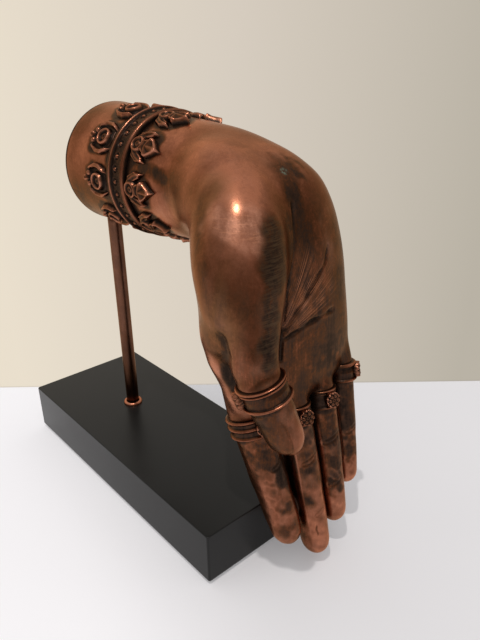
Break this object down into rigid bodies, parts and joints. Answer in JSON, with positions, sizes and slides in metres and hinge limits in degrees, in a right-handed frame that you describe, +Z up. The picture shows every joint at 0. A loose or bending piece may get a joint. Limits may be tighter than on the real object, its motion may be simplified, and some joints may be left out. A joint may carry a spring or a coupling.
{
  "type": "hand sculpture",
  "caption": "Cast copper hand in a lowered open-palm gesture, with a floral bracelet and finger rings, standing on a rod above a black block base.",
  "frame": {"origin": "middle of the base's underside, where it rests on the table", "axes": "+Z up, +X along the block's long side towards the fingers, +Y to the little finger's side"},
  "size_m": [0.2868, 0.1263, 0.2799],
  "materials": {
    "copper": "rubbed copper with dark brown patina in the hollows, satin",
    "dark_copper": "dark patinated copper, satin",
    "bright_copper": "rubbed bright copper",
    "black_lacquer": "satin black lacquer",
    "black_felt": "felt",
    "steel": "plated"
  },
  "bodies": {
    "root": {"base_block": "black_lacquer", "base_felt": "black_felt", "base_washer": "steel", "base_nut": "steel", "support_rod": "dark_copper", "rod_collar": "bright_copper", "wrist_socket": "steel", "hand_casting": "copper", "bracelet_band": "copper", "hand_side_motif_1": "dark_copper", "cuff_side_motif_1": "dark_copper", "hand_side_motif_2": "dark_copper", "cuff_side_motif_2": "dark_copper", "hand_side_motif_3": "dark_copper", "cuff_side_motif_3": "dark_copper", "hand_side_motif_4": "dark_copper", "cuff_side_motif_4": "dark_copper", "hand_side_motif_5": "dark_copper", "cuff_side_motif_5": "dark_copper", "hand_side_motif_6": "dark_copper", "cuff_side_motif_6": "dark_copper", "hand_side_motif_7": "dark_copper", "cuff_side_motif_7": "dark_copper", "hand_side_motif_8": "dark_copper", "cuff_side_motif_8": "dark_copper", "hand_side_motif_9": "dark_copper", "cuff_side_motif_9": "dark_copper", "thumb_band": "copper", "thumb_rosette": "dark_copper", "index_band": "copper", "index_rosette": "dark_copper", "middle_band": "copper", "middle_rosette": "dark_copper", "ring_finger_band": "copper", "ring_finger_rosette": "dark_copper", "little_band": "copper", "little_rosette": "dark_copper"}
  },
  "joints": []
}
